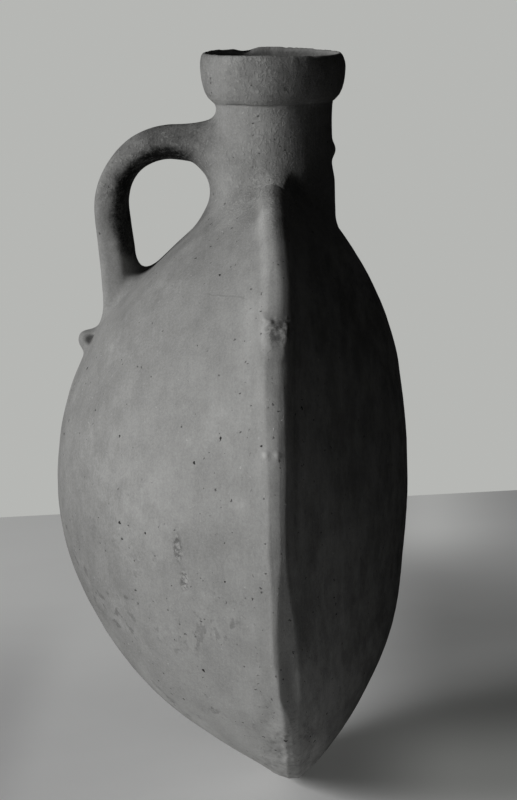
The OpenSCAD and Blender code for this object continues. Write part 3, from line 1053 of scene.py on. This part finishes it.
def clay_material():
    """Grey unglazed clay: mottled, streaked by smoothing, with pits and light and dark grit."""
    material = bpy.data.materials.new("fired_clay_surface")
    material.use_nodes = True
    tree = material.node_tree
    tree.nodes.clear()
    n = Nodes(tree)
    p = clay_places(n)
    base = n.new("ShaderNodeMix", data_type="RGBA", blend_type="MULTIPLY")
    base.inputs["Factor"].default_value = 1.0
    base.inputs["A"].default_value = CLAY_GREY
    n.put(base.inputs[7], n.grey(clay_tone(n, p)))
    bump = n.new("ShaderNodeBump")
    bump.inputs["Strength"].default_value = 0.75
    bump.inputs["Distance"].default_value = MM
    n.put(bump.inputs["Height"], clay_height(n, p))
    shader = n.new("ShaderNodeBsdfPrincipled")
    n.put(shader.inputs["Base Color"], base.outputs[2])
    n.put(shader.inputs["Roughness"], n.ramp(p.mottle, 0.3, 0.7, 0.82, 0.96))
    shader.inputs["Specular IOR Level"].default_value = 0.05
    n.put(shader.inputs["Normal"], bump.outputs[0])
    out = n.new("ShaderNodeOutputMaterial")
    n.put(out.inputs[0], shader.outputs[0])
    return material


# ---- Floor, background, light and camera ----

def floor_material():
    """A dull pale table top with broad patches of window light on it."""
    material = bpy.data.materials.new("pale_floor")
    material.use_nodes = True
    tree = material.node_tree
    tree.nodes.clear()
    n = Nodes(tree)
    coords = n.new("ShaderNodeTexCoord")
    cloud = n.noise(coords.outputs["Object"], 5.0, 3.0)
    tone = n.ramp(cloud, 0.3, 0.7, 0.75, 0.81)
    place = n.new("ShaderNodeSeparateXYZ")
    n.put(place.inputs[0], coords.outputs["Object"])
    # Painted shadow on the table right of the flask, to about half a metre behind it
    side, back = place.outputs[0], place.outputs[1]
    right = n.ramp(side, 0.0, 0.08)
    band = n.mul(n.ramp(back, 0.58, 0.26), right)
    tone = n.sub(tone, n.mul(band, 0.50))
    # Patches of window light: behind on the left, far behind on the right, and in front on the
    # right; the corner at the far left gets less
    pale = n.mul(n.ramp(side, 0.0, -0.08), n.ramp(back, 0.0, 0.35))
    far = n.mul(n.mul(n.ramp(back, 0.40, 0.56), right), n.ramp(side, 0.14, 0.05))
    close = n.mul(n.ramp(back, 0.12, -0.02), n.ramp(side, 0.02, 0.08))
    corner = n.mul(n.ramp(side, -0.12, -0.16), n.ramp(back, 0.42, 0.12))
    pale = n.add(n.mul(pale, 1.6), n.mul(far, 2.8))
    pale = n.add(pale, n.mul(close, 1.5))
    pale = n.sub(pale, n.mul(corner, 1.3))
    shader = n.new("ShaderNodeBsdfPrincipled")
    n.put(shader.inputs["Base Color"], n.grey(tone))
    shader.inputs["Roughness"].default_value = 0.8
    # The camera sees the floor a little paler than the clay does
    path = n.new("ShaderNodeLightPath")
    glow = n.new("ShaderNodeEmission")
    glow.inputs[0].default_value = FLOOR_GLOW
    n.put(glow.inputs[1], n.mul(n.add(pale, 1.0), path.outputs["Is Camera Ray"]))
    both = n.new("ShaderNodeAddShader")
    n.put(both.inputs[0], shader.outputs[0])
    n.put(both.inputs[1], glow.outputs[0])
    out = n.new("ShaderNodeOutputMaterial")
    n.put(out.inputs[0], both.outputs[0])
    return material


def make_floor():
    """A plain table top, whose far edge shows behind the flask."""
    near, left, right = -2.5, -3.0, 0.28
    far_left, far_right = 0.155, 0.6963
    mesh = bpy.data.meshes.new("floor")
    corners = [(left, near, 0), (right, near, 0), (right, far_right, 0), (left, far_left, 0)]
    mesh.from_pydata(corners, [], [(0, 1, 2, 3)])
    mesh.materials.append(floor_material())
    floor = bpy.data.objects.new("floor", mesh)
    bpy.context.scene.collection.objects.link(floor)


def make_world():
    """A pale plain background to look at, and a weak soft fill for everything else."""
    world = bpy.data.worlds.new("studio")
    bpy.context.scene.world = world
    world.use_nodes = True
    tree = world.node_tree
    tree.nodes.clear()
    n = Nodes(tree)
    path = n.new("ShaderNodeLightPath")
    seen = path.outputs["Is Camera Ray"]
    shown = n.new("ShaderNodeBackground")
    shown.inputs[0].default_value = BACKGROUND
    fill = n.new("ShaderNodeBackground")
    fill.inputs[0].default_value = (1.0, 1.0, 1.0, 1.0)
    # The fill is stronger from above, behind and to the right
    aim_at = n.new("ShaderNodeTexCoord")
    toward = n.new("ShaderNodeVectorMath", operation="DOT_PRODUCT")
    n.put(toward.inputs[0], aim_at.outputs["Generated"])
    toward.inputs[1].default_value = (0.42, 0.42, 0.80)
    n.put(fill.inputs[1], n.ramp(toward.outputs["Value"], 0.45, 0.95, 0.0015, 0.035))
    mix = n.new("ShaderNodeMixShader")
    n.put(mix.inputs[0], seen)
    n.put(mix.inputs[1], fill.outputs[0])
    n.put(mix.inputs[2], shown.outputs[0])
    out = n.new("ShaderNodeOutputWorld")
    n.put(out.inputs[0], mix.outputs[0])


def aim(obj, place, target):
    obj.location = place
    obj.rotation_euler = (Vector(target) - Vector(place)).to_track_quat("-Z", "Y").to_euler()


def make_lights():
    """One tall soft window to the left of the camera."""
    data = bpy.data.lights.new("window", "AREA")
    data.shape = "RECTANGLE"
    data.size, data.size_y = WINDOW_SIZE
    data.energy = WINDOW_WATTS
    lamp = bpy.data.objects.new("window", data)
    bpy.context.scene.collection.objects.link(lamp)
    aim(lamp, WINDOW_PLACE, FLASK_MIDDLE)


def make_camera():
    """The camera fitted to the photograph: its turn, height, roll, distance and lens."""
    turn, rise, roll = (math.radians(angle) for angle in CAMERA_ANGLES)
    target = Vector(CAMERA_TARGET)
    forward = Vector((-math.sin(turn) * math.cos(rise), math.cos(turn) * math.cos(rise),
                      -math.sin(rise)))
    right = Vector((math.cos(turn), math.sin(turn), 0.0))
    top = right.cross(forward)
    right_2 = math.cos(roll) * right + math.sin(roll) * top
    top_2 = -math.sin(roll) * right + math.cos(roll) * top
    data = bpy.data.cameras.new("camera")
    data.sensor_fit = "VERTICAL"
    data.sensor_height = 24.0
    data.lens = LENS_PX * data.sensor_height / IMAGE_H
    data.clip_end = 50.0
    camera = bpy.data.objects.new("camera", data)
    bpy.context.scene.collection.objects.link(camera)
    rows = Matrix((right_2, top_2, -forward)).transposed().to_4x4()
    camera.matrix_world = Matrix.Translation(target - CAMERA_DISTANCE * forward) @ rows
    bpy.context.scene.camera = camera


clay = clay_material()
surface = build_surface()
for piece_name in PIECES:
    make_piece(piece_name, surface, clay)
make_floor()
make_world()
make_lights()
make_camera()
bpy.context.scene.view_settings.view_transform = "Standard"
